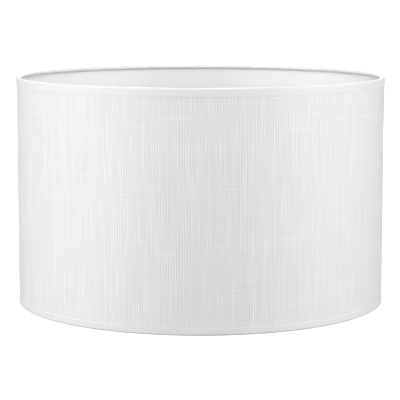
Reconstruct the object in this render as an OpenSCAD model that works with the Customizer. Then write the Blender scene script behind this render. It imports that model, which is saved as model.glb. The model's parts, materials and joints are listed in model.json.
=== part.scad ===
// Drum lamp shade: a woven cover bonded to a stiff liner and rolled into a drum. The panel's ends
// overlap in one upright lap seam. A wire ring stiffens each edge under a folded binding tape, and
// a three-armed fitter in the bottom ring carries the shade on a lampholder.

/* [Drum] */
// Outside diameter of the woven cover
shade_d = 400; // [250:5:600]
// Height over both bound edges
shade_h = 247; // [150:1:400]
// Direction of the lap seam's free edge, seen from above, with 0 at +X
seam_angle = 164; // [105:1:164]
// Width over which the panel's two ends overlap
lap_w = 12; // [8:1:16]

/* [Panel layers] */
// Thickness of the woven cover
cover_t = 0.45; // [0.3:0.05:0.7]
// Thickness of the stiff liner
liner_t = 0.35; // [0.25:0.05:0.6]
// Thickness of the double-sided tape in the lap
tape_t = 0.15; // [0.1:0.05:0.3]

/* [Rings and binding] */
// Diameter of both rings' wire
ring_wire = 3; // [2:0.5:4]
// Thickness of the binding tape
binding_t = 0.35; // [0.25:0.05:0.6]
// How far the top binding reaches down the outside
top_band = 9; // [6:0.5:14]
// How far the bottom binding reaches up the outside
bottom_band = 7.5; // [6:0.5:14]
// How far both bindings reach along the inside
inner_band = 7; // [7:0.5:12]

/* [Fitter] */
// Hole that drops over the lampholder's thread
fitter_hole = 42; // [38:0.5:44]
// Outside diameter of the pressed collar
collar_d = 62; // [58:1:70]
// Thickness of the collar's sheet
collar_t = 1.5; // [1:0.1:2.5]
// Height of the collar's turned-up rim over its flat face
rim_h = 3; // [1.5:0.5:6]
// Height of the collar's top face above the shade's bottom edge
fitter_rise = 24; // [16:1:60]
// Diameter of the arms' wire
arm_wire = 3; // [2.5:0.5:4]

/* [Hidden] */
$fn = 180;

// The panel's faces at the plain wall, from the outside in
cover_r = shade_d / 2;
liner_r = cover_r - cover_t;
inner_r = liner_r - liner_t;
// The lap's layers stand on the other end of the panel: tape, turned hem, liner, cover
hem_r = cover_r + tape_t;
lap_liner_r = hem_r + cover_t;
lap_cover_r = lap_liner_r + liner_t;
lap_face_r = lap_cover_r + cover_t;

// Lengths along the wall turned into angles
function wall_angle(length) = length / cover_r * 180 / PI;
slope_w = 12;
end_gap = 1.5;
lap_end = seam_angle + wall_angle(lap_w);
slope_start = lap_end + wall_angle(end_gap);
slope_end = slope_start + wall_angle(slope_w);
tongue_angle = 0.1;
hem_w = lap_w - 2;

// The panel stops short of the edges, where the rings' wire takes over under the binding
ring_r = inner_r - ring_wire / 2;
ring_z = binding_t + ring_wire / 2;
edge_gap = binding_t + 0.4;
panel_h = shade_h - 2 * edge_gap;
ring_gap = 0.05;
corner_r = cover_r + binding_t - inner_r;
arc_steps = 8;
tuck_angle = 30;

// The arms lap under the collar, bend once and run down to the bottom ring
arm_lap_r = fitter_hole / 2 + 4.5;
arm_bend_r = collar_d / 2 + 2;
arm_z = fitter_rise - collar_t - arm_wire / 2;
arm_angles = [90, 210, 330];
bend_swell = 0.1;
bend_inset = 0.3;
weld_depth = 0.5;
arm_end = [ring_r - ring_wire / 2 + weld_depth, binding_t + max(ring_wire, arm_wire) / 2];
bead_r = arm_wire / 2 + 0.35;
bead_rise = 0.35;
slit_w = 2 * bead_r + 0.6;

function polar(r, angle) = [r * cos(angle), r * sin(angle)];

// A stretch of drum wall between two radii, two angles and two heights
module turn(r_in, r_out, from, to, z, height)
    rotate([0, 0, from])
        rotate_extrude(angle = to - from)
            translate([r_in, z])
                square([r_out - r_in, height]);

// The plan of a wall is cut by a wedge from the drum's axis
module wedge(from, to)
    polygon([[0, 0], polar(shade_d, from), polar(shade_d, to)]);

// In plan: a short stretch of wall
module arc_plan(r_in, r_out, from, to)
    intersection() {
        difference() {
            circle(r_out);
            circle(r_in);
        }
        wedge(from, to);
    }

// In plan: the full turn of wall from the foot of the slope round to its end under the lap
module wall_plan(r_in, r_out)
    difference() {
        circle(r_out);
        circle(r_in);
        wedge(lap_end, slope_end);
    }

// In plan: the straight stretch that brings a layer down from the lap to the wall. A tongue at
// each end reaches into the stretch that it joins
module slope_plan(r_lap, r_wall, thick)
    polygon([polar(r_lap, slope_start), polar(r_lap + thick / 2, slope_start - tongue_angle),
        polar(r_lap + thick, slope_start), polar(r_wall + thick, slope_end),
        polar(r_wall + thick / 2, slope_end + tongue_angle), polar(r_wall, slope_end)]);

// In plan: one layer of the panel, from its outer end on the lap, down the slope and round
module layer_plan(r_wall, r_lap, thick, from) {
    arc_plan(r_lap, r_lap + thick, from, slope_start);
    slope_plan(r_lap, r_wall, thick);
    wall_plan(r_wall, r_wall + thick);
}

module liner()
    color("whitesmoke")
        translate([0, 0, edge_gap])
            linear_extrude(panel_h)
                layer_plan(inner_r, lap_liner_r, liner_t, seam_angle + wall_angle(cover_t));

// The cover follows the liner and turns in round its free edge as a hem
module cover()
    color("white")
        translate([0, 0, edge_gap])
            linear_extrude(panel_h) {
                layer_plan(liner_r, lap_cover_r, cover_t, seam_angle);
                arc_plan(hem_r, lap_face_r, seam_angle, seam_angle + wall_angle(cover_t));
                arc_plan(hem_r, lap_liner_r, seam_angle, seam_angle + wall_angle(hem_w));
            }

module seam_tape()
    color("ivory")
        turn(cover_r, hem_r, seam_angle + wall_angle(1), seam_angle + wall_angle(hem_w), edge_gap, panel_h);

// A closed wire ring that lies against the liner with its top or bottom just under the binding
module ring(z)
    color("silver")
        translate([0, 0, z])
            rotate_extrude()
                translate([ring_r, 0])
                    circle(d = ring_wire, $fn = 48);

module top_ring()
    ring(shade_h - ring_z);

module bottom_ring()
    ring(ring_z);

// Points along part of a circle
function arc(centre, r, from, to) =
    [for (i = [0:arc_steps]) centre + polar(r, from + (to - from) * i / arc_steps)];

// Where the tangent that leaves a circle tuck_angle short of its top reaches radius to_r
function tuck_point(centre, r, to_r) =
    [to_r, centre[1] + r * cos(tuck_angle) + (to_r - centre[0] + r * sin(tuck_angle)) * tan(tuck_angle)];

// A binding's section at a bottom edge. It runs down the outside leg, round the panel's edge and
// the ring, and up the inside leg to the liner, then back along the layers that it wraps
module binding_section(face, band) {
    cap = ring_wire / 2 + binding_t;
    wrapped = ring_wire / 2 + ring_gap;
    centre = [ring_r, ring_z];
    polygon(concat(
        [[face + binding_t, band]],
        arc([face + binding_t - corner_r, corner_r], corner_r, 0, -90),
        arc(centre, cap, -90, -270 + tuck_angle),
        [tuck_point(centre, cap, inner_r - binding_t)],
        [[inner_r - binding_t, inner_band], [inner_r, inner_band]],
        [tuck_point(centre, wrapped, inner_r)],
        arc(centre, wrapped, 90 + tuck_angle, 270),
        [[inner_r, edge_gap], [face, edge_gap], [face, band]]
    ));
}

// A stretch of binding between two angles
module binding_turn(face, band, from, to)
    rotate([0, 0, from])
        rotate_extrude(angle = to - from)
            binding_section(face, band);

// The binding's outside leg closed against the wall, on the side of an angle that ends at to
module binding_step(band, to)
    turn(cover_r, lap_face_r + binding_t, to - wall_angle(binding_t), to, corner_r, band - corner_r);

// A binding round the bottom edge: plain round the wall, and proud from the lap's free edge to the
// foot of the slope behind it
module binding(band) {
    binding_turn(cover_r, band, slope_end, seam_angle + 360);
    binding_turn(lap_face_r, band, seam_angle, slope_end);
    binding_step(band, seam_angle);
    binding_step(band, slope_end + wall_angle(binding_t));
}

module top_binding()
    color("white")
        translate([0, 0, shade_h])
            mirror([0, 0, 1])
                binding(top_band);

// The inside leg is slit where each arm passes through it to the ring
module bottom_binding()
    color("white")
        difference() {
            binding(bottom_band);
            for (a = arm_angles)
                rotate([0, 0, a])
                    translate([ring_r - ring_wire, -slit_w / 2, ring_z - ring_wire / 2])
                        cube([ring_wire, slit_w, inner_band]);
        }

// The collar is pressed from sheet: a flat ring round the hole with its rim turned up
module fitter_collar()
    color("whitesmoke")
        translate([0, 0, fitter_rise - collar_t])
            rotate_extrude()
                difference() {
                    translate([fitter_hole / 2, 0])
                        square([(collar_d - fitter_hole) / 2, collar_t + rim_h]);
                    translate([fitter_hole / 2 - 1, collar_t])
                        square([(collar_d - fitter_hole) / 2 + 1 - collar_t, rim_h + 1]);
                }

// A round bar between two points of the XZ plane
module bar(r, from, to) {
    run = to - from;
    translate([from[0], 0, from[1]])
        rotate([0, atan2(run[0], run[1]), 0])
            cylinder(h = norm(run), r = r, $fn = 48);
}

// One arm: a level end under the collar, the bend, and the run whose end is fused into the ring.
// The bend's ball is a little proud of both bars, whose ends stop inside it
module arm(angle) {
    bend = [arm_bend_r, arm_z];
    color("silver")
        rotate([0, 0, angle]) {
            bar(arm_wire / 2, [arm_lap_r, arm_z], bend - [bend_inset, 0]);
            translate([arm_bend_r, 0, arm_z])
                sphere(arm_wire / 2 + bend_swell, $fn = 48);
            bar(arm_wire / 2, bend + bend_inset * (arm_end - bend) / norm(arm_end - bend), arm_end);
        }
}

module back_arm()
    arm(arm_angles[0]);

module left_arm()
    arm(arm_angles[1]);

module right_arm()
    arm(arm_angles[2]);

// A weld bead at each arm's joint with the ring, and one on its lap under the collar
module weld_beads()
    color("gainsboro")
        for (a = arm_angles)
            rotate([0, 0, a]) {
                translate([arm_end[0], 0, arm_end[1] + bead_rise])
                    sphere(bead_r, $fn = 48);
                translate([(arm_lap_r + collar_d / 2) / 2, 0, arm_z + bead_rise])
                    sphere(bead_r, $fn = 48);
            }

liner();
cover();
seam_tape();
top_ring();
bottom_ring();
top_binding();
bottom_binding();
fitter_collar();
back_arm();
left_arm();
right_arm();
weld_beads();
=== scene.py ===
import json
import math

import bpy
import numpy as np
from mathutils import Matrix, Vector

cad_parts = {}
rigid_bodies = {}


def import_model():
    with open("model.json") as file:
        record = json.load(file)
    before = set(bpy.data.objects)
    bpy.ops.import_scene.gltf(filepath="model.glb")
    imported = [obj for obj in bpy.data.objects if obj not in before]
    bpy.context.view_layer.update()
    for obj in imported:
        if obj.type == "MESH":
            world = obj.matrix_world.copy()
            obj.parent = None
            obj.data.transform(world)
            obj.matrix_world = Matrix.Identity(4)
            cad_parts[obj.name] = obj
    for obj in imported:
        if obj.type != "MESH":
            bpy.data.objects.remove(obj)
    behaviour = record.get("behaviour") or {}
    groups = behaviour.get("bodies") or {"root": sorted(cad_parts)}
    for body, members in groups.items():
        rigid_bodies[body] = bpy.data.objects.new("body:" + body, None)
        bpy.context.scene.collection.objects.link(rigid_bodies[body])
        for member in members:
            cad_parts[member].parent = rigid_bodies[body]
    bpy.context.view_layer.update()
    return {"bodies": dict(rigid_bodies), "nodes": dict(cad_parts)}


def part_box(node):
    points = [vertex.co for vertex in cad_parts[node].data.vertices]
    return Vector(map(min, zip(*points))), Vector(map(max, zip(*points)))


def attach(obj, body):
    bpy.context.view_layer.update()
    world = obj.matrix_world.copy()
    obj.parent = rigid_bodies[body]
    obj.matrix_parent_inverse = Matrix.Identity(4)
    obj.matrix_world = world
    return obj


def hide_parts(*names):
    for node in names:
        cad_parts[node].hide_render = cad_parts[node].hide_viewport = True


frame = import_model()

body = next(iter(frame["bodies"]))
mm = 0.001


# Rings. Two hoops of 3 mm drawn steel wire hold the drum's edges round. Each is bent on a former and
# butt-welded shut, which leaves a slight swelling, and is powder-coated white before the tape goes on.
ring_wire = 3 * mm
ring_edge_gap = 0.35 * mm  # from the shade's edge in to the wire
panel_t = 0.8 * mm  # from the drum's outside face in to the wire
ring_steps = 480
wire_sides = 16
weld_reach = 2.5 * mm
weld_swell = 0.02
coat_white = ("E4E4E0", "F4F4F2")
coat_grain = 1.6 * mm
coat_cloud = 33.3 * mm
coat_depth = 0.05 * mm

shade_h = round(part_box("top_binding")[1].z, 5)
cover_r = round(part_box("cover")[1].x, 3)
ring_r = cover_r - panel_t - ring_wire / 2


def linear(code):
    """A colour given as sRGB hex turned to linear light, as the shaders want it."""
    level = np.array([int(code[i:i + 2], 16) for i in (0, 2, 4)]) / 255
    return (*np.where(level <= 0.04045, level / 12.92, ((level + 0.055) / 1.055) ** 2.4), 1)


def add(tree, kind, settings=None, inputs=None):
    """Adds a node with its settings. An input that is another node's output is linked, and any other
    value is set on the socket."""
    node = tree.nodes.new("ShaderNode" + kind)
    for key, value in (settings or {}).items():
        setattr(node, key, value)
    for key, value in (inputs or {}).items():
        if isinstance(value, bpy.types.NodeSocket):
            tree.links.new(value, node.inputs[key])
        else:
            node.inputs[key].default_value = value
    return node


def new_finish(name):
    """A new material, emptied but for its output."""
    made = bpy.data.materials.new(name)
    made.use_nodes = True
    made.node_tree.nodes.clear()
    return made, made.node_tree


def powder_coated_steel():
    """White polyester powder baked on steel. It gives a satin skin with a soft orange-peel ripple,
    which is one noise, and a little whiter in one spot than in another, which is a wider one."""
    made, tree = new_finish("powder_coated_steel")
    place = add(tree, "TexCoord").outputs["Object"]
    peel = add(tree, "TexNoise", None, {"Vector": place, "Scale": 1 / coat_grain, "Detail": 2.0})
    cloud = add(tree, "TexNoise", None, {"Vector": place, "Scale": 1 / coat_cloud, "Detail": 3.0})
    tone = add(tree, "MixRGB", None, {
        0: cloud.outputs[0], 1: linear(coat_white[0]), 2: linear(coat_white[1])})
    gloss = add(tree, "MapRange", None, {0: peel.outputs[0], 3: 0.34, 4: 0.5})
    ripple = add(tree, "Bump", None, {
        "Strength": 0.15, "Distance": coat_depth, "Height": peel.outputs[0]})
    shader = add(tree, "BsdfPrincipled", None, {
        "Base Color": tone.outputs[0], "Roughness": gloss.outputs[0], "IOR": 1.5,
        "Normal": ripple.outputs[0]})
    add(tree, "OutputMaterial", None, {"Surface": shader.outputs[0]})
    return made


def make_piece(name, points, faces, finish, maps=None):
    """Puts points and four-sided faces into a mesh piece that rides on the shade. Where the faces
    enclose a negative volume they point inwards, and all are turned over. maps holds one pair of
    places for each corner of each face."""
    a, b, c, d = (points[faces[:, i]] for i in range(4))
    volume = np.einsum("ij,ij->", a, np.cross(b, c) + np.cross(c, d))
    turn = slice(None, None, -1 if volume < 0 else 1)
    mesh = bpy.data.meshes.new(name)
    mesh.from_pydata(points.tolist(), [], faces[:, turn].tolist())
    for map_name, places in (maps or {}).items():
        layer = mesh.uv_layers.new(name=map_name)
        layer.data.foreach_set("uv", np.ascontiguousarray(places[:, turn], np.float32).ravel())
    mesh.shade_smooth()
    mesh.set_sharp_from_angle(angle=math.radians(40))
    mesh.materials.append(finish)
    piece = bpy.data.objects.new(name, mesh)
    bpy.context.scene.collection.objects.link(piece)
    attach(piece, body)
    return piece


def tube(centres, side, up, radii, closed=False):
    """A round bar: at each point of its centreline a circle of that point's radius, in the plane of the
    directions side and up. An open bar's ends are rounded off by two more circles, each a little
    further out and smaller, and shut by a ladder of faces across the last one."""
    if not closed:
        lean = np.radians([40, 75])
        first, last = centres[0] - centres[1], centres[-1] - centres[-2]
        first = np.outer(np.sin(lean[::-1]) * radii[0], first / np.linalg.norm(first))
        last = np.outer(np.sin(lean) * radii[-1], last / np.linalg.norm(last))
        centres = np.vstack([centres[0] + first, centres, centres[-1] + last])
        radii = np.concatenate([radii[0] * np.cos(lean[::-1]), radii, radii[-1] * np.cos(lean)])
        side, up = (np.pad(v, ((2, 2), (0, 0)), "edge") for v in (side, up))
    turn = np.arange(wire_sides) * 2 * np.pi / wire_sides
    circle = side[:, None] * np.cos(turn)[:, None] + up[:, None] * np.sin(turn)[:, None]
    grid = centres[:, None] + radii[:, None, None] * circle
    count = len(centres)
    index = np.arange(count * wire_sides).reshape(count, wire_sides)
    along = np.vstack([index, index[:1]]) if closed else index
    loop = np.hstack([along, along[:, :1]])
    faces = np.stack([loop[:-1, :-1], loop[1:, :-1], loop[1:, 1:], loop[:-1, 1:]], -1).reshape(-1, 4)
    if not closed:
        r = np.arange(wire_sides // 2 - 1)
        rungs = np.stack([r, r + 1, wire_sides - 2 - r, wire_sides - 1 - r], -1)
        faces = np.vstack([faces, index[0][rungs], index[-1][rungs[:, ::-1]]])
    return grid.reshape(-1, 3), faces


white_steel = powder_coated_steel()


def ring(name, height):
    """A hoop of wire at a height: a circle of wire_sides points carried round the drum's axis, fatter
    by a bell curve at the weld."""
    angle = np.arange(ring_steps) * 2 * np.pi / ring_steps
    outwards = np.stack([np.cos(angle), np.sin(angle), 0 * angle], -1)
    upwards = np.zeros_like(outwards) + [0, 0, 1]
    from_weld = (angle - np.pi / 2) * ring_r
    radii = ring_wire / 2 * (1 + weld_swell * np.exp(-(from_weld / weld_reach) ** 2))
    points, faces = tube(outwards * ring_r + upwards * height, outwards, upwards, radii, closed=True)
    piece = make_piece(name + "_wire", points, faces, white_steel)
    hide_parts(name)


ring_z = ring_edge_gap + ring_wire / 2
ring("top_ring", shade_h - ring_z)
ring("bottom_ring", ring_z)


# Collar. A flat ring of 1.5 mm sheet steel, blanked with a 42 mm hole that drops over the lampholder's
# thread, with its rim turned up in the press so that it stays flat, and powder-coated.
collar_hole_r = 21 * mm
collar_t = 1.5 * mm
collar_bend = 1.25 * mm
collar_step = 0.5 * mm
rolled_edge = 0.3 * mm
collar_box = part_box("fitter_collar")
collar_out = collar_box[1].x
collar_steps = 180


def resampled(line, spacing):
    """The same line with its points evenly spaced, about spacing apart."""
    step = np.linalg.norm(np.diff(line, axis=0), axis=1)
    run = np.concatenate([[0], np.cumsum(step)])
    at = np.linspace(0, run[-1], max(3, round(run[-1] / spacing) + 1))
    return np.stack([np.interp(at, run, line[:, i]) for i in range(2)], -1)


def arc(centre, radius, start, end, count=9):
    """Points along part of a circle in the plane, from one angle in degrees to another."""
    angle = np.radians(np.linspace(start, end, count))
    return np.array(centre) + radius * np.stack([np.cos(angle), np.sin(angle)], -1)


def right_normals(line):
    """The unit vectors to the right of a line's direction at each of its points."""
    run = np.gradient(line, axis=0)
    run /= np.linalg.norm(run, axis=1)[:, None]
    return np.stack([run[:, 1], -run[:, 0]], -1)


def revolved(section, angles):
    """A section of radii and heights carried round the drum's axis: one column of points for each
    angle. The section may also be given as one for each angle."""
    section = np.broadcast_to(section, (len(angles), *section.shape[-2:]))
    cos, sin = np.cos(angles)[:, None], np.sin(angles)[:, None]
    return np.stack([section[..., 0] * cos, section[..., 0] * sin, section[..., 1]], -1)


map_margin = 0.001
map_nudge = np.array([0.0015, 0.004])


def sheet_faces(front, back, closed=False, present=None, rows=1, front_share=0.5):
    """The faces of a sheet with a front and a back, each a grid of points, columns along by points
    across. Every cell that is present has a face on both, and wherever a cell meets a missing one or
    an edge, a narrow face joins front to back. The Cloth map gives each corner its distance in metres
    along and across the sheet. The OFBake map cuts the sheet's length into rows, one above another,
    and each row has the front, the back and the narrow faces in strips of its own, the front's with
    the share of the row that front_share says."""
    columns, across = front.shape[:2]
    steps = columns if closed else columns - 1
    if present is None:
        present = np.ones((steps, across - 1), bool)
    here = np.arange(steps + 1)
    node = (here % columns)[:, None] * across + np.arange(across)
    ends = np.vstack([front, front[:1]]) if closed else front
    along = np.concatenate([[0], np.cumsum(np.linalg.norm(np.diff(ends[:, 0], axis=0), axis=1))])
    width = np.concatenate([[0], np.cumsum(np.linalg.norm(np.diff(front[0], axis=0), axis=1))])
    row = here * rows // (steps + 1)
    first = np.searchsorted(row, np.arange(rows))
    longest = np.diff(np.append(along[first], along[-1])).max() * (1 + map_margin)

    def corners(c, r, behind, strip):
        """The point, Cloth place and OFBake place of the corner at column c and point r."""
        low, high = strip
        base = along[first[row[c[0]]]]
        shelf = (row[c[0]] + low + (high - low) * width[r[1]] / width[-1]) / rows
        cloth = np.stack([along[c[1]], width[r[1]]], -1)
        bake = np.stack([(along[c[1]] - base) / longest, shelf], -1)
        return node[c[1], r[1]] + behind * columns * across, cloth, bake

    def face(cells, shape, strip):
        """One face for each cell: shape lists its corners as steps along, across and to the back."""
        c, r = cells
        got = [corners((np.minimum(c, steps - 1), c + i), (r, r + j), k, strip) for i, j, k in shape]
        return [np.stack([g[n] for g in got], 1) for n in range(3)]

    outside = ((0, 0), (1, 1))
    padded = np.pad(present, outside)
    over, under = padded[:, 1:], padded[:, :-1]
    turned = np.pad(present, ((1, 1), (0, 0)), "wrap" if closed else "constant")
    later, sooner = turned[1:], turned[:-1]
    if closed:
        later, sooner = later[:-1], sooner[:-1]
    strips = (0.0, front_share), (front_share + 0.01, 0.97), (0.975, 0.995)  # of a row's height
    made = [
        face(np.nonzero(present), [(0, 0, 0), (1, 0, 0), (1, 1, 0), (0, 1, 0)], strips[0]),
        face(np.nonzero(present), [(0, 1, 1), (1, 1, 1), (1, 0, 1), (0, 0, 1)], strips[1]),
        face(np.nonzero(over & ~under), [(1, 0, 0), (0, 0, 0), (0, 0, 1), (1, 0, 1)], strips[2]),
        face(np.nonzero(under & ~over), [(0, 0, 0), (1, 0, 0), (1, 0, 1), (0, 0, 1)], strips[2]),
        face(np.nonzero(later & ~sooner), [(0, 0, 0), (0, 1, 0), (0, 1, 1), (0, 0, 1)], strips[2]),
        face(np.nonzero(sooner & ~later), [(0, 1, 0), (0, 0, 0), (0, 0, 1), (0, 1, 1)], strips[2]),
    ]
    # The narrow faces have no width of their own on the maps, so their back corners are moved a little
    for faces, cloth, bake in made[2:]:
        bake += (faces >= columns * across)[..., None] * map_nudge
    faces, cloth, bake = (np.concatenate([m[n] for m in made]) for n in range(3))
    points = np.concatenate([front.reshape(-1, 3), back.reshape(-1, 3)])
    return points, faces, {"Cloth": cloth, "OFBake": bake}


def swept_sheet(section, thick, angles, **how):
    """A sheet whose middle is a section of radii and heights carried round the axis: its front lies
    half a thickness to the right of the section, and its back as far to the left."""
    section = np.broadcast_to(section, (len(angles), *section.shape[-2:]))
    normal = np.stack([right_normals(s) for s in section])
    front = revolved(section + normal * thick / 2, angles)
    back = revolved(section - normal * thick / 2, angles)
    return sheet_faces(front, back, **how)


collar_z = collar_box[0].z + collar_t / 2
collar_wall = collar_out - collar_t / 2
collar_line = np.vstack([
    [[collar_hole_r, collar_z]],
    arc((collar_wall - collar_bend, collar_z + collar_bend), collar_bend, -90, 0),
    [[collar_wall, collar_box[1].z]],
])
collar_points, collar_faces, _ = swept_sheet(
    resampled(collar_line, collar_step), collar_t,
    np.arange(collar_steps) * 2 * np.pi / collar_steps, closed=True)
collar = make_piece("fitter_collar_pressing", collar_points, collar_faces, white_steel)
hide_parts("fitter_collar")
# The press leaves every cut edge a little rounded
edge = collar.modifiers.new("rolled_edge", "BEVEL")
edge.width = rolled_edge
edge.segments = 2
edge.limit_method = "ANGLE"


# Arms. Three lengths of the same 3 mm wire, each with a level end under the collar, one smooth bend
# and a straight run down to the bottom ring. They are welded to both before the frame is coated.
arm_angles = {"back_arm": 90, "left_arm": 210, "right_arm": 330}
arm_lap_r = 25.5 * mm
arm_corner_r = 33 * mm
arm_bend = 12 * mm
arm_wire = 3 * mm
arm_step = 2 * mm
weld_depth = 0.5 * mm
arm_top = collar_box[0].z
arm_level = arm_top - arm_wire / 2
arm_foot = np.array([ring_r - ring_wire / 2 + weld_depth, ring_z])


def bent_line(start, corner, end, radius):
    """A line from start to end round a corner: straight, part of a circle that touches both legs, and
    straight again."""
    into, away = (corner - start), (end - corner)
    into, away = into / np.linalg.norm(into), away / np.linalg.norm(away)
    bend = math.acos(np.clip(into @ away, -1, 1))
    reach = radius * math.tan(bend / 2)
    side = np.array([into[1], -into[0]])
    centre = corner - into * reach + side * radius
    turns = np.linspace(0, bend, 9)[:, None]
    curve = centre - radius * (side * np.cos(turns) - into * np.sin(turns))
    return np.vstack([start, curve, end])


def arm(name, degrees):
    """An arm: the bent line in the upright plane at its angle, swept by a circle."""
    line = bent_line(
        np.array([arm_lap_r, arm_level]), np.array([arm_corner_r, arm_level]), arm_foot, arm_bend)
    line = resampled(line, arm_step)
    lie = right_normals(line)
    out = np.array([math.cos(math.radians(degrees)), math.sin(math.radians(degrees)), 0])
    side = np.cross([0, 0, 1], out)
    centres = line[:, :1] * out + line[:, 1:] * [0, 0, 1]
    up = -lie[:, :1] * out - lie[:, 1:] * [0, 0, 1]
    radii = np.full(len(line), arm_wire / 2)
    points, faces = tube(centres, np.tile(side, (len(line), 1)), up, radii)
    piece = make_piece(name + "_wire", points, faces, white_steel)
    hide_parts(name)


for arm_name, arm_angle in arm_angles.items():
    arm(arm_name, arm_angle)


# Weld beads. A short run of weld metal at each end of each arm, laid across the two wires at the ring
# and along the wire's flank under the collar, rippled as it froze, and coated with the frame.
bead_half = 3.0 * mm
bead_r = 1.8 * mm
bead_ripples = 5
bead_ripple = 0.05
ring_bead_in = 0.6 * mm  # from the arm's end back along it
ring_bead_up = 0.3 * mm
collar_bead_up = 0.35 * mm


def bead(degrees, radius, height, along_arm):
    """A bead: a circle swept along a short straight line, its radius an ellipse along the line with a
    small ripple on it."""
    out = np.array([math.cos(math.radians(degrees)), math.sin(math.radians(degrees)), 0])
    side = np.cross([0, 0, 1], out)
    run, across = (out, side) if along_arm else (side, out)
    s = np.linspace(-0.96, 0.96, 25)
    half = bead_half if along_arm else bead_r
    centres = out * radius + np.array([0, 0, height]) + run * (s * half)[:, None]
    radii = bead_r * np.sqrt(1 - s ** 2) * (1 + bead_ripple * np.cos(bead_ripples * np.pi * s))
    return tube(centres, np.tile(across, (len(s), 1)), np.tile([0.0, 0, 1], (len(s), 1)), radii)


bead_runs = []
for arm_angle in arm_angles.values():
    bead_runs.append(bead(arm_angle, arm_foot[0] - ring_bead_in, arm_foot[1] + ring_bead_up, False))
    bead_runs.append(bead(arm_angle, (arm_lap_r + collar_out) / 2, arm_level + collar_bead_up, True))
bead_starts = np.cumsum([0] + [len(points) for points, _ in bead_runs[:-1]])
beads = make_piece(
    "weld_bead_runs", np.concatenate([points for points, _ in bead_runs]),
    np.concatenate([faces + start for (_, faces), start in zip(bead_runs, bead_starts)]),
    white_steel)
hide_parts("weld_beads")


# Liner. A white satin PVC film, 0.35 mm thick, that stiffens the drum and spreads the light. It is
# bonded to the cover flat, rolled with it, and overlapped at the seam behind the left arm.
seam_angle = 164.0  # in degrees from +X, at the back left
lap_w = 12 * mm
hem_w = 10 * mm
slope_w = 12 * mm
end_gap = 1.5 * mm
cover_t = 0.45 * mm
liner_t = 0.35 * mm
tape_t = 0.15 * mm
panel_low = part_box("cover")[0].z
panel_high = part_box("cover")[1].z
panel_rows = 26
wall_steps = 480
film_white = ("E9E9E9", "EFEFEF")
film_cloud = 55.6 * mm
film_grain = (2 * mm, 16.7 * mm)
film_depth = 0.1 * mm
lap_rise = cover_t + liner_t + tape_t + cover_t
liner_mid = cover_r - cover_t - liner_t / 2
cover_mid = cover_r - cover_t / 2


def wall_angle(length):
    """A length along the wall turned into an angle in degrees."""
    return math.degrees(length / cover_r)


lap_end = seam_angle + wall_angle(lap_w)
slope_start = lap_end + wall_angle(end_gap)
slope_end = slope_start + wall_angle(slope_w)
fold_r = (liner_t + cover_t) / 2
fold_angle = seam_angle + wall_angle(fold_r + cover_t / 2)


def eased(x):
    """Rises from 0 to 1 as x does, level at both ends: three x squared less two x cubed."""
    x = np.clip(x, 0, 1)
    return x * x * (3 - 2 * x)


def rolled_line(middle, start):
    """The plan of one layer of the panel, seen from above: it starts at the lap, a rise above the
    wall, eases down the slope behind it and runs on round the wall until it lies under the lap."""
    degrees = np.concatenate([
        np.linspace(start, slope_start, 12, endpoint=False),
        np.linspace(slope_start, slope_end, 24, endpoint=False),
        np.linspace(slope_end, lap_end + 360, wall_steps)])
    radius = middle + lap_rise * eased((slope_end - degrees) / (slope_end - slope_start))
    angle = np.radians(degrees)
    return np.stack([radius * np.cos(angle), radius * np.sin(angle)], -1)


def upright_sheet(plan, thick, **how):
    """A sheet that stands on a plan: the plan moved half a thickness to the right for the front and to
    the left for the back, both carried from the panel's lower edge to its upper one."""
    normal = right_normals(plan)
    heights = np.linspace(panel_low, panel_high, panel_rows)

    def raised(line):
        return np.stack(np.broadcast_arrays(line[:, :1], line[:, 1:], heights), -1)

    return sheet_faces(raised(plan + normal * thick / 2), raised(plan - normal * thick / 2), **how)


def satin_film():
    """Calendered PVC film. It gives an even white with a satin face, faintly clouded by a wide noise,
    and a shallow upright grain from the cloth behind it, which is a noise drawn out upwards."""
    made, tree = new_finish("satin_pvc_film")
    place = add(tree, "UVMap", {"uv_map": "Cloth"}).outputs[0]
    cloud = add(tree, "TexNoise", None, {"Vector": place, "Scale": 1 / film_cloud, "Detail": 4.0})
    stretch = add(tree, "VectorMath", {"operation": "MULTIPLY"}, {
        0: place, 1: (1 / film_grain[0], 1 / film_grain[1], 0)})
    grain = add(tree, "TexNoise", None, {"Vector": stretch.outputs[0], "Scale": 1.0, "Detail": 3.0})
    tone = add(tree, "MixRGB", None, {
        0: cloud.outputs[0], 1: linear(film_white[0]), 2: linear(film_white[1])})
    gloss = add(tree, "MapRange", None, {0: grain.outputs[0], 3: 0.5, 4: 0.62})
    relief = add(tree, "Bump", None, {
        "Strength": 0.2, "Distance": film_depth, "Height": grain.outputs[0]})
    shader = add(tree, "BsdfPrincipled", None, {
        "Base Color": tone.outputs[0], "Roughness": gloss.outputs[0], "IOR": 1.53,
        "Specular IOR Level": 0.25, "Normal": relief.outputs[0]})
    add(tree, "OutputMaterial", None, {"Surface": shader.outputs[0]})
    return made


liner_plan = rolled_line(liner_mid, fold_angle)
liner_points, liner_faces, liner_maps = upright_sheet(liner_plan, liner_t, rows=2, front_share=0.16)
liner = make_piece("liner_film", liner_points, liner_faces, satin_film(), liner_maps)
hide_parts("liner")


# Cover. A plain-woven linen-look cloth of uneven cream-white yarns, laminated to the liner. Round the
# liner's free edge it is turned in as a 10 mm hem, which is taped down onto the panel's other end.
thread_pitch = 1.35 * mm  # about twice the real spacing, so that single threads show
thread_wander = 0.8 * mm
wander_size = 25 * mm
slub_length = 70 * mm
# Sizes of the patches in which painted shade shows in every second gap between threads
upright_patch = (12 * mm, 55 * mm)
level_patch = (24 * mm, 10 * mm)
weave_depth = 0.25 * mm
yarn_dark = "D3D3D1"
yarn_light = "F2F2F0"
# How much each shows in the upright and in the level threads: the yarn's own tone, and the painted shade in
# every second gap between threads
yarn_share = (0.19, 0.08, 0)
gap_shade_share = (0.3, 0.11, 0)
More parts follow.
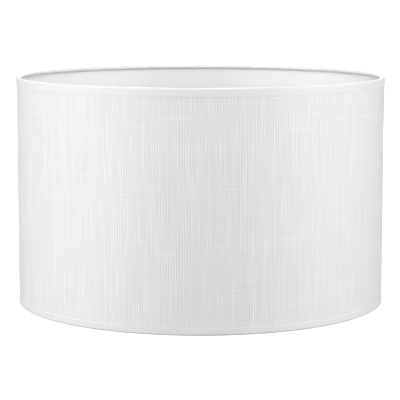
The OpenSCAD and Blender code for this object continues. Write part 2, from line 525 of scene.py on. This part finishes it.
# How much the painted highlight on the thick slub yarn shows
slub_highlight_share = 0.7
# Steps through the noise from one thread to the next, and from the upright threads to the level ones
next_thread = 7.31
other_set = 3.7


def linen_weave():
    """Plain weave of uneven yarns, which gives a soft crosshatch, stronger upright than level. Each
    thread is a half sine across its width, and rises over and dips under the threads that cross it
    as a sine along its length, with its neighbours half a turn out of step. Every thread has a tone
    of its own that drifts along it where the yarn is thick or thin, and is whitest where it is
    thickest, in a slub, as a painted highlight on the thick yarn. In patches, taller ones for the
    upright threads and wider ones for the level ones, a cosine over two threads paints shade into
    every second gap between threads and light into the others."""
    made, tree = new_finish("plain_woven_linen_look_cloth")
    place = add(tree, "UVMap", {"uv_map": "Cloth"}).outputs[0]
    # Places counted in threads: X across the upright threads, and Y across the level ones
    wander = add(tree, "TexNoise", None, {"Vector": place, "Scale": 1 / wander_size, "Detail": 2.0})
    bent = add(tree, "VectorMath", {"operation": "MULTIPLY_ADD"}, {
        0: wander.outputs["Color"], 1: (thread_wander, thread_wander, 0), 2: place})
    thread = add(tree, "VectorMath", {"operation": "SCALE"}, {
        0: bent.outputs[0], "Scale": 1 / thread_pitch})
    number = add(tree, "VectorMath", {"operation": "FLOOR"}, {0: thread.outputs[0]})
    at = add(tree, "SeparateXYZ", None, {0: thread.outputs[0]})
    of = add(tree, "SeparateXYZ", None, {0: number.outputs[0]})

    # Relief: each set's round profile times its rise over the other set, and then the higher of the two
    turned = add(tree, "VectorMath", {"operation": "SCALE"}, {0: thread.outputs[0], "Scale": math.pi})
    wave = add(tree, "VectorMath", {"operation": "SINE"}, {0: turned.outputs[0]})
    profile = add(tree, "VectorMath", {"operation": "ABSOLUTE"}, {0: wave.outputs[0]})
    swapped = add(tree, "CombineXYZ", None, {0: at.outputs[1], 1: at.outputs[0]})
    phase = add(tree, "VectorMath", {"operation": "ADD"}, {0: swapped.outputs[0], 1: number.outputs[0]})
    shifted = add(tree, "VectorMath", {"operation": "MULTIPLY_ADD"}, {
        0: phase.outputs[0], 1: (math.pi, math.pi, 0), 2: (0, math.pi, 0)})
    crossing = add(tree, "VectorMath", {"operation": "SINE"}, {0: shifted.outputs[0]})
    over = add(tree, "VectorMath", {"operation": "MULTIPLY_ADD"}, {
        0: crossing.outputs[0], 1: (0.45, 0.45, 0), 2: (0.55, 0.55, 0)})
    height = add(tree, "VectorMath", {"operation": "MULTIPLY"}, {0: profile.outputs[0], 1: over.outputs[0]})
    rise = add(tree, "SeparateXYZ", None, {0: height.outputs[0]})
    top = add(tree, "Math", {"operation": "MAXIMUM"}, {0: rise.outputs[0], 1: rise.outputs[1]})

    # Tone: each thread's own yarn with its slubs, whiter as a painted highlight, and the patches of painted
    # shade in every second gap between threads
    yarns, gap_shade_patches = [], []
    for own, along, patch in ((0, 1, upright_patch), (1, 0, level_patch)):
        spread = add(tree, "Math", {"operation": "MULTIPLY"}, {0: of.outputs[own], 1: next_thread})
        drift = add(tree, "Math", {"operation": "MULTIPLY"}, {
            0: at.outputs[along], 1: thread_pitch / slub_length})
        spot = add(tree, "CombineXYZ", None, {
            0: spread.outputs[0], 1: drift.outputs[0], 2: other_set * own})
        yarn = add(tree, "TexNoise", None, {"Vector": spot.outputs[0], "Scale": 1.0, "Detail": 1.0})
        even = add(tree, "MapRange", None, {0: yarn.outputs[0], 1: 0.3, 2: 0.7, 3: -0.5, 4: 0.5})
        # The slub's extra white is a painted highlight where the thick yarn stands proud
        slub_highlight = add(tree, "MapRange", None, {0: yarn.outputs[0], 1: 0.6, 2: 0.7})
        yarns.append(add(tree, "Math", {"operation": "MULTIPLY_ADD"}, {
            0: slub_highlight.outputs[0], 1: slub_highlight_share, 2: even.outputs[0]}))
        # The patches in which the painted gap shade shows
        spot = add(tree, "VectorMath", {"operation": "MULTIPLY"}, {
            0: place, 1: (1 / patch[0], 1 / patch[1], 0)})
        cloud = add(tree, "TexNoise", None, {"Vector": spot.outputs[0], "Scale": 1.0, "Detail": 1.0})
        gap_shade_patches.append(add(tree, "MapRange", None, {0: cloud.outputs[0], 1: 0.42, 2: 0.58}))
    # A cosine over two threads: painted shade in every second gap between threads, painted light in the
    # others
    gap_shade_wave = add(tree, "VectorMath", {"operation": "COSINE"}, {0: turned.outputs[0]})
    gap_shade_mask = add(tree, "CombineXYZ", None, {0: gap_shade_patches[0].outputs[0], 1: gap_shade_patches[1].outputs[0]})
    gap_shades = add(tree, "VectorMath", {"operation": "MULTIPLY"}, {0: gap_shade_wave.outputs[0], 1: gap_shade_mask.outputs[0]})
    gap_shades = add(tree, "VectorMath", {"operation": "MULTIPLY"}, {0: gap_shades.outputs[0], 1: gap_shade_share})
    tones = add(tree, "CombineXYZ", None, {0: yarns[0].outputs[0], 1: yarns[1].outputs[0]})
    shades = add(tree, "VectorMath", {"operation": "MULTIPLY_ADD"}, {
        0: tones.outputs[0], 1: yarn_share, 2: gap_shades.outputs[0]})
    total = add(tree, "VectorMath", {"operation": "DOT_PRODUCT"}, {0: shades.outputs[0], 1: (1, 1, 0)})
    tone = add(tree, "Math", {"operation": "ADD", "use_clamp": True}, {0: total.outputs["Value"], 1: 0.5})
    colour = add(tree, "MixRGB", None, {0: tone.outputs[0], 1: linear(yarn_dark), 2: linear(yarn_light)})

    # A whiter yarn is a thicker one, and the tops of the threads are rubbed a little smoother
    body_of_yarn = add(tree, "Math", {"operation": "MULTIPLY_ADD"}, {
        0: tone.outputs[0], 1: 0.6, 2: top.outputs[0]})
    relief = add(tree, "Bump", None, {
        "Strength": 0.28, "Distance": weave_depth, "Height": body_of_yarn.outputs[0]})
    fuzz = add(tree, "MapRange", None, {0: top.outputs[0], 3: 0.75, 4: 0.55})
    shader = add(tree, "BsdfPrincipled", None, {
        "Base Color": colour.outputs[0], "Roughness": fuzz.outputs[0], "IOR": 1.5,
        "Specular IOR Level": 0.6, "Normal": relief.outputs[0]})
    add(tree, "OutputMaterial", None, {"Surface": shader.outputs[0]})
    return made


def hem_line():
    """The plan of the hem: back along the underside of the liner's end, then half a circle round it."""
    hem_mid = cover_r + tape_t + cover_t / 2
    back = np.linspace(seam_angle + wall_angle(hem_w), fold_angle, 8, endpoint=False)
    turn = np.radians(np.linspace(-90, 90, 11, endpoint=False))
    degrees = np.concatenate([back, fold_angle - np.degrees(fold_r / cover_r * np.cos(turn))])
    radius = np.concatenate([np.full(len(back), hem_mid), hem_mid + fold_r * (1 + np.sin(turn))])
    angle = np.radians(degrees)
    return np.stack([radius * np.cos(angle), radius * np.sin(angle)], -1)


cover_plan = np.vstack([hem_line(), rolled_line(cover_mid, fold_angle)])
cover_points, cover_faces, cover_maps = upright_sheet(cover_plan, cover_t, rows=2, front_share=0.8)
cover = make_piece(
    "woven_cover", cover_points, cover_faces, linen_weave(), cover_maps)
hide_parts("cover")


# Seam tape. A strip of clear double-sided acrylic film in the lap, under the cover's hem. Its own
# solid has the right shape, so only its finish is made here: a warm film with trapped air specks.
film_warm = ("DAD6C8", "ECE9DE")
speck_size = 1.25 * mm


def acrylic_film():
    """Clear adhesive film. It gives a warm, glossy strip, mottled by a fine noise where it hasn't
    wetted the cloth."""
    made, tree = new_finish("double_sided_acrylic_film")
    place = add(tree, "TexCoord").outputs["Object"]
    specks = add(tree, "TexNoise", None, {"Vector": place, "Scale": 1 / speck_size, "Detail": 3.0})
    tone = add(tree, "MixRGB", None, {
        0: specks.outputs[0], 1: linear(film_warm[0]), 2: linear(film_warm[1])})
    gloss = add(tree, "MapRange", None, {0: specks.outputs[0], 3: 0.15, 4: 0.4})
    shader = add(tree, "BsdfPrincipled", None, {
        "Base Color": tone.outputs[0], "Roughness": gloss.outputs[0], "IOR": 1.48})
    add(tree, "OutputMaterial", None, {"Surface": shader.outputs[0]})
    return made


seam_tape = frame["nodes"]["seam_tape"]
seam_tape.data.materials.clear()
seam_tape.data.materials.append(acrylic_film())


# Bindings. A fine self-adhesive cotton tape, folded lengthwise over the panel's edge and the ring. It
# is pressed flat outside, rolls round the wire, gathers a little inside, and its end laps its start.
binding_t = 0.35 * mm
inner_band = 7 * mm
rim_corner = panel_t + binding_t
tape_rise = 0.12 * mm
tuck = 30
tape_step = 0.45 * mm
softenings = 4
tape_start = 176.0
tape_lap = 12 * mm
tape_ramp = 3 * mm
tape_steps = 720
lap_step = 2.5 * mm
edge_waver = 0.06 * mm
pucker_depth = 0.08 * mm
slit_w = 4.3 * mm
tape_white = ("DFDFDE", "E8E8E7")
tape_cloud = 14.3 * mm
rib_pitch = 2 * mm  # about four times the real one, so that it shows
rib_depth = 0.1 * mm


def binding_line(band):
    """The tape's section at a bottom edge, as radii and heights: down the outside, round the panel's
    corner, under the ring and round it, across to the liner and up it. Its kinks are softened by
    averaging each point with its neighbours."""
    leg_r = cover_r + binding_t / 2
    inside_r = cover_r - panel_t - binding_t / 2
    wrap_r = ring_wire / 2 + binding_t / 2 + tape_rise
    wrap = arc((ring_r, ring_z), wrap_r, -90, -270 + tuck, 17)
    reach = inside_r - wrap[-1, 0]
    line = np.vstack([
        [[leg_r, band]],
        arc((leg_r - rim_corner + binding_t / 2, rim_corner), rim_corner - binding_t / 2, 0, -90),
        wrap,
        [[inside_r, wrap[-1, 1] + reach * math.tan(math.radians(tuck))], [inside_r, inner_band]],
    ])
    line = resampled(line, tape_step)
    for _ in range(softenings):
        line[1:-1] = (line[:-2] + 2 * line[1:-1] + line[2:]) / 4
    return line


def waver(angle, first, count, seed):
    """An uneven wave that closes on itself round the drum: a sum of sines of whole frequencies, with
    phases from a seeded draw, scaled to stay within about one."""
    draw = np.random.default_rng(seed)
    rates = first + draw.choice(first * 2, count, replace=False)
    phases = draw.uniform(0, 2 * np.pi, count)
    return np.sin(angle[:, None] * rates + phases).sum(1) / math.sqrt(count * 2)


def binding(name, band, seed):
    """A binding: its section carried once round and past its own start. It stands out over the lap
    and eases back down the slope. The last stretch is lifted onto the first by a thickness. Its
    edges waver and its inner leg gathers in small puckers, and the bottom one is slit for the arms."""
    degrees = np.linspace(tape_start, tape_start + 360 + wall_angle(tape_lap), tape_steps)
    near_seam = np.concatenate([
        np.linspace(360 + seam_angle - wall_angle(tape_ramp), 360 + seam_angle, 8),
        np.linspace(360 + slope_start, 360 + slope_end, 8)])
    slits = np.array([])
    if name == "bottom_binding":
        middle = np.array([a + 360 * (a < tape_start) for a in arm_angles.values()])
        half = wall_angle(slit_w / 2)
        slits = (middle[:, None] + np.array([-half, half])).ravel()
    degrees = np.unique(np.concatenate([degrees, near_seam, slits]))
    angle = np.radians(degrees)
    line = binding_line(band)
    radius, height = line[:, 0], line[:, 1]
    count = len(line)
    share = np.arange(count) / (count - 1)
    # How far each point of the section belongs to the outside leg, its edge and the inside leg
    outer = np.clip((radius - ring_r) / (ring_wire / 2), 0, 1) * (share < 0.6)
    edge = np.clip((height - rim_corner) / (band - rim_corner), 0, 1) ** 2 * (share < 0.5)
    inner = np.clip((height - inner_band / 2) / (inner_band / 2), 0, 1) * (share > 0.6)
    proud = eased((degrees - 360 - seam_angle) / wall_angle(lap_step) + 1)
    proud = proud * eased((slope_end + 360 - degrees) / (slope_end - slope_start))
    puckers = np.clip(waver(angle, 40, 6, seed), 0, 1) ** 2
    section = np.broadcast_to(line, (len(angle), count, 2)).copy()
    section[..., 0] += lap_rise * proud[:, None] * outer
    section[..., 0] -= pucker_depth * puckers[:, None] * inner
    section[..., 1] += edge_waver * waver(angle, 9, 7, seed + 1)[:, None] * edge
    section[..., 1] += edge_waver * waver(angle, 12, 7, seed + 2)[:, None] * inner
    lift = binding_t * eased((degrees - tape_start - 360) / wall_angle(tape_ramp) + 1)
    section += right_normals(line) * lift[:, None, None]
    if name == "top_binding":
        section[..., 1] = shade_h - section[..., 1]
        section = section[:, ::-1]
    present = np.ones((len(angle) - 1, count - 1), bool)
    if len(slits):
        # A slit runs in from the tape's inner edge as far as the underside of the arm
        between = (degrees[:-1] + degrees[1:]) / 2
        cut = (abs(between[:, None] - middle) < half).any(1)
        present[cut, np.argmax(radius < ring_r - ring_wire / 3):] = False
    normal = np.stack([right_normals(s) for s in section])
    front = revolved(section + normal * binding_t / 2, angle)
    back = revolved(section - normal * binding_t / 2, angle)
    points, faces, maps = sheet_faces(front, back, present=present, rows=6, front_share=0.5)
    piece = make_piece(name + "_tape", points, faces, tape_finish, maps)
    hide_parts(name)


def cotton_tape():
    """Fine bias-woven cotton tape with a matt sizing. It gives close slanting ribs, which are a sine
    along the tape's diagonal, and a faint cloudiness where the adhesive behind has taken."""
    made, tree = new_finish("sized_cotton_tape")
    place = add(tree, "UVMap", {"uv_map": "Cloth"}).outputs[0]
    # The texture's sine turns ten radians a unit along each axis, so more by root two on the diagonal
    rate = 2 * math.pi / (10 * math.sqrt(2) * rib_pitch)
    ribs = add(tree, "TexWave", {"wave_type": "BANDS", "bands_direction": "DIAGONAL"}, {
        "Vector": place, "Scale": rate, "Distortion": 0.6, "Detail": 2.0, "Detail Scale": 2.0})
    cloud = add(tree, "TexNoise", None, {"Vector": place, "Scale": 1 / tape_cloud, "Detail": 4.0})
    tone = add(tree, "MixRGB", None, {
        0: cloud.outputs[0], 1: linear(tape_white[0]), 2: linear(tape_white[1])})
    relief = add(tree, "Bump", None, {
        "Strength": 0.15, "Distance": rib_depth, "Height": ribs.outputs[0]})
    gloss = add(tree, "MapRange", None, {0: cloud.outputs[0], 3: 0.55, 4: 0.75})
    shader = add(tree, "BsdfPrincipled", None, {
        "Base Color": tone.outputs[0], "Roughness": gloss.outputs[0], "IOR": 1.5,
        "Specular IOR Level": 0.8, "Normal": relief.outputs[0]})
    add(tree, "OutputMaterial", None, {"Surface": shader.outputs[0]})
    return made


tape_finish = cotton_tape()
binding("top_binding", band=9 * mm, seed=11)
binding("bottom_binding", band=7.5 * mm, seed=23)


# Studio. A wide pale sweep under and round the shade, an even white surround, a large soft overhead
# light, and a soft box to each side of the camera. The sweep shows pure white behind the shade.
sweep_r = 40.0
paper_grey = "9C9C9C"
sky = 0.1
overhead = 0.85
overhead_spread = 60
box_size = 0.9
box_reach = 2.3
# Each box: its bearing from the camera's side in degrees, its height, and its power
boxes = {
    "left_box": (-75, 0.75, 34.8),
    "right_box": (77, 0.75, 31.7),
    "front_box": (0, 1.8, 42.5),
    "back_box": (180, 0.75, 40.0),
}
shade_middle = np.array([0, 0, shade_h / 2])


def look_at(thing, place, target):
    """Puts a light or camera at a place, with its own -Z towards the target and its Y upwards."""
    thing.location = place
    thing.rotation_euler = (Vector(target) - Vector(place)).to_track_quat("-Z", "Y").to_euler()


def white_sweep():
    """Matt white paper. What the camera sees of it is burnt out to pure white by its own lights, which
    add nothing to the light on the shade."""
    made, tree = new_finish("white_paper_sweep")
    seen = add(tree, "LightPath").outputs["Is Camera Ray"]
    paper = add(tree, "BsdfDiffuse", None, {"Color": linear(paper_grey)})
    lit = add(tree, "Emission", None, {"Color": (1, 1, 1, 1), "Strength": 1.0})
    both = add(tree, "AddShader", None, {0: paper.outputs[0], 1: lit.outputs[0]})
    mixed = add(tree, "MixShader", None, {0: seen, 1: paper.outputs[0], 2: both.outputs[0]})
    add(tree, "OutputMaterial", None, {"Surface": mixed.outputs[0]})
    return made


ground = np.array([[1, 1, 0], [-1, 1, 0], [-1, -1, 0], [1, -1, 0]]) * sweep_r
sweep_mesh = bpy.data.meshes.new("sweep")
sweep_mesh.from_pydata(ground.tolist(), [], [(0, 1, 2, 3)])
sweep_mesh.materials.append(white_sweep())
sweep = bpy.data.objects.new("sweep", sweep_mesh)
bpy.context.scene.collection.objects.link(sweep)

surround = bpy.data.worlds.new("white_surround")
surround.use_nodes = True
surround.node_tree.nodes.clear()
direct = add(surround.node_tree, "LightPath").outputs["Is Camera Ray"]
strength = add(surround.node_tree, "MapRange", None, {0: direct, 3: sky, 4: 1.0})
glow = add(surround.node_tree, "Background", None, {
    "Color": (1, 1, 1, 1), "Strength": strength.outputs[0]})
add(surround.node_tree, "OutputWorld", None, {"Surface": glow.outputs[0]})
bpy.context.scene.world = surround

sun = bpy.data.lights.new("overhead", "SUN")
sun.energy = overhead
sun.angle = math.radians(overhead_spread)
overhead_light = bpy.data.objects.new("overhead", sun)
bpy.context.scene.collection.objects.link(overhead_light)

for box_name, (bearing, box_height, box_power) in boxes.items():
    box_x, box_y = math.sin(math.radians(bearing)), -math.cos(math.radians(bearing))
    box_place = (box_reach * box_x, box_reach * box_y, box_height)
    panel = bpy.data.lights.new(box_name, "AREA")
    panel.shape = "SQUARE"
    panel.size = box_size
    panel.energy = box_power
    soft_box = bpy.data.objects.new(box_name, panel)
    bpy.context.scene.collection.objects.link(soft_box)
    look_at(soft_box, box_place, shade_middle)

bpy.context.scene.view_settings.view_transform = "Standard"



# Camera. A long lens a little above the rim, square on to the drum and aimed just below its middle,
# so that the front rim hides the fitter.
camera_lens = 153.1
camera_sensor = 36
camera_aim = np.array([-0.0005, 0, 0.1095])
camera_distance = 1.877
camera_rise = math.radians(7.76)
camera = bpy.data.cameras.new("camera")
camera.lens = camera_lens
camera.sensor_width = camera_sensor
camera_object = bpy.data.objects.new("camera", camera)
bpy.context.scene.collection.objects.link(camera_object)
camera_back = np.array([0, -math.cos(camera_rise), math.sin(camera_rise)])
look_at(camera_object, camera_aim + camera_distance * camera_back, camera_aim)
bpy.context.scene.camera = camera_object
